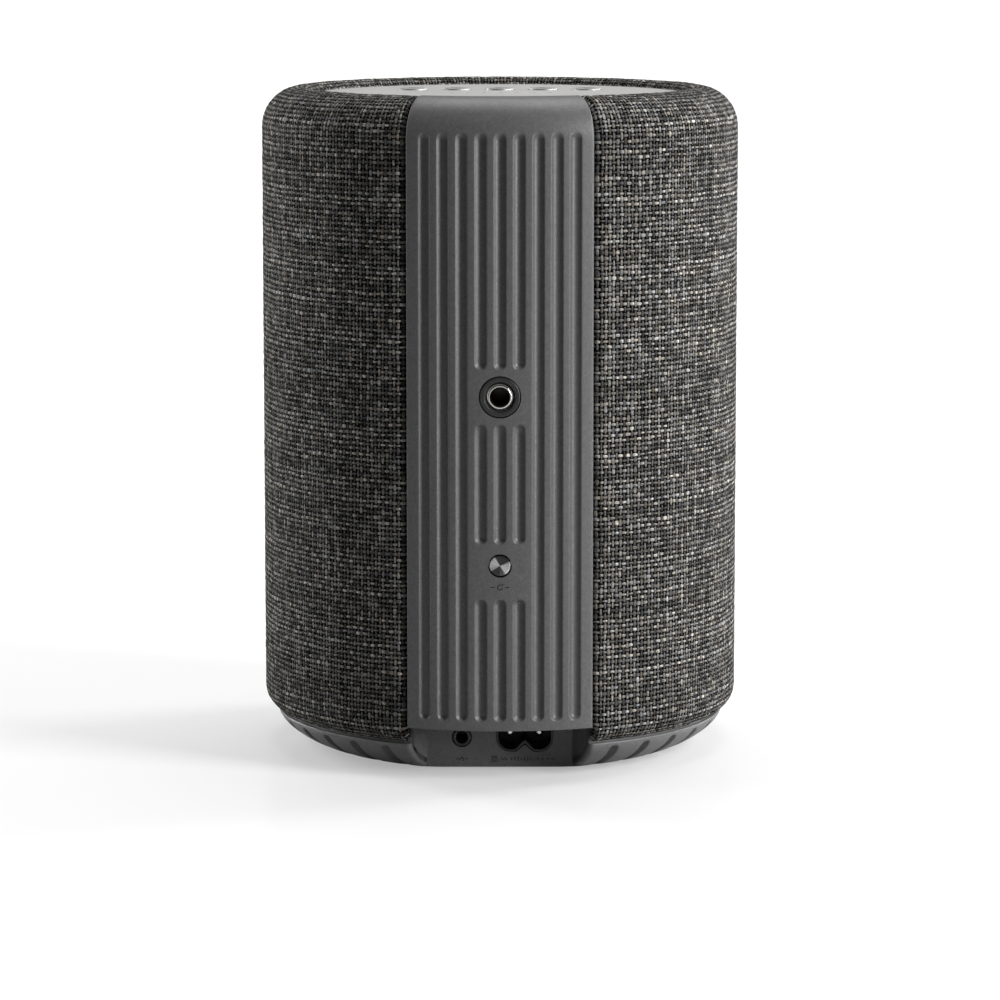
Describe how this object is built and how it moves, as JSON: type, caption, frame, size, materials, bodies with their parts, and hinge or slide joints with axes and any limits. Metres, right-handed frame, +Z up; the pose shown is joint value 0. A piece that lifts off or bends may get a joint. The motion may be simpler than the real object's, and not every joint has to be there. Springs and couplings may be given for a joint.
{
  "type": "smart speaker",
  "caption": "Cylindrical cloth-wrapped smart speaker with a fluted rear spine, recessed top plate with round keys, notched bowl base and a recessed connector bay.",
  "frame": {"origin": "centre of the foot ring's underside, on the surface the speaker stands on", "axes": "+Z up along the body's axis; -Y out of the rear spine, so the drivers face +Y; +X to the right of someone who looks at the spine"},
  "size_m": [0.142, 0.142, 0.197],
  "materials": {
    "cloth": "coarse woven melange",
    "spine_plastic": "fine textured satin",
    "base_plastic": "fine textured satin",
    "plate_lacquer": "fine satin lacquer",
    "spun_metal": "spun, fine circular brushing",
    "bright_plate": "bright plated",
    "black_plastic": "moulded",
    "cabinet_plastic": "moulded",
    "rubber": "matt",
    "circuit_board": "solder mask",
    "zinc_steel": "zinc plated",
    "ferrite": "sintered",
    "cone_pulp": "pressed fibre",
    "light_guide": "milky clear",
    "sink_aluminium": "extruded"
  },
  "bodies": {
    "root": {"amplifier_board": "circuit_board", "aux_jack": "black_plastic", "base_screw_1": "zinc_steel", "base_screw_2": "zinc_steel", "base_screw_3": "zinc_steel", "base_screw_4": "zinc_steel", "base_shell": "base_plastic", "button_board": "circuit_board", "cabinet_body": "cabinet_plastic", "cabinet_gasket": "rubber", "cabinet_lid": "cabinet_plastic", "connector_plate": "base_plastic", "fabric_cover": "cloth", "filter_capacitor": "black_plastic", "foot_ring": "rubber", "grille_frame": "black_plastic", "heat_sink": "sink_aluminium", "inlet_pin_left": "bright_plate", "inlet_pin_right": "bright_plate", "insert_bezel": "black_plastic", "key_switch_1": "black_plastic", "key_switch_2": "black_plastic", "key_switch_3": "black_plastic", "key_switch_4": "black_plastic", "key_switch_5": "black_plastic", "light_guide": "light_guide", "mains_inlet": "black_plastic", "power_board": "circuit_board", "radiator_left_frame": "black_plastic", "radiator_left_surround": "rubber", "radiator_right_frame": "black_plastic", "radiator_right_surround": "rubber", "rear_panel": "spine_plastic", "reset_board": "circuit_board", "reset_switch": "black_plastic", "threaded_insert": "bright_plate", "top_plate": "plate_lacquer", "transformer": "ferrite", "tweeter_magnet": "ferrite", "tweeter_plate": "black_plastic", "wireless_module": "zinc_steel", "woofer_basket": "zinc_steel", "woofer_magnet": "ferrite", "woofer_screw_1": "zinc_steel", "woofer_screw_2": "zinc_steel", "woofer_screw_3": "zinc_steel", "woofer_screw_4": "zinc_steel", "woofer_spider": "cloth", "woofer_surround": "rubber", "woofer_yoke": "zinc_steel"},
    "top_button_1": {"top_button_1": "spun_metal"},
    "top_button_2": {"top_button_2": "spun_metal"},
    "top_button_3": {"top_button_3": "spun_metal"},
    "top_button_4": {"top_button_4": "spun_metal"},
    "top_button_5": {"top_button_5": "spun_metal"},
    "reset_button": {"reset_button": "spun_metal"},
    "woofer_cone": {"woofer_cone": "cone_pulp"},
    "tweeter_dome": {"tweeter_dome": "cloth"},
    "radiator_left_cone": {"radiator_left_cone": "cone_pulp"},
    "radiator_right_cone": {"radiator_right_cone": "cone_pulp"}
  },
  "joints": [
    {"name": "top_button_1_press", "type": "slide", "parent": "root", "child": "top_button_1", "axis": [0, 0, -1], "range_m": [0, 0.0005], "stiffness_N_per_m": 800},
    {"name": "top_button_2_press", "type": "slide", "parent": "root", "child": "top_button_2", "axis": [0, 0, -1], "range_m": [0, 0.0005], "stiffness_N_per_m": 800},
    {"name": "top_button_3_press", "type": "slide", "parent": "root", "child": "top_button_3", "axis": [0, 0, -1], "range_m": [0, 0.0005], "stiffness_N_per_m": 800},
    {"name": "top_button_4_press", "type": "slide", "parent": "root", "child": "top_button_4", "axis": [0, 0, -1], "range_m": [0, 0.0005], "stiffness_N_per_m": 800},
    {"name": "top_button_5_press", "type": "slide", "parent": "root", "child": "top_button_5", "axis": [0, 0, -1], "range_m": [0, 0.0005], "stiffness_N_per_m": 800},
    {"name": "reset_button_press", "type": "slide", "parent": "root", "child": "reset_button", "axis": [0, 1, 0], "range_m": [0, 0.0005], "stiffness_N_per_m": 800},
    {"name": "woofer_travel", "type": "slide", "parent": "root", "child": "woofer_cone", "axis": [0, 1, 0], "range_m": [-0.002, 0.002], "stiffness_N_per_m": 1500},
    {"name": "tweeter_travel", "type": "slide", "parent": "root", "child": "tweeter_dome", "axis": [0, 1, 0], "range_m": [-0.0003, 0.0003], "stiffness_N_per_m": 2000},
    {"name": "left_radiator_travel", "type": "slide", "parent": "root", "child": "radiator_left_cone", "axis": [-1, 0, 0], "range_m": [-0.002, 0.002], "stiffness_N_per_m": 900},
    {"name": "right_radiator_travel", "type": "slide", "parent": "root", "child": "radiator_right_cone", "axis": [1, 0, 0], "range_m": [-0.002, 0.002], "stiffness_N_per_m": 900}
  ]
}
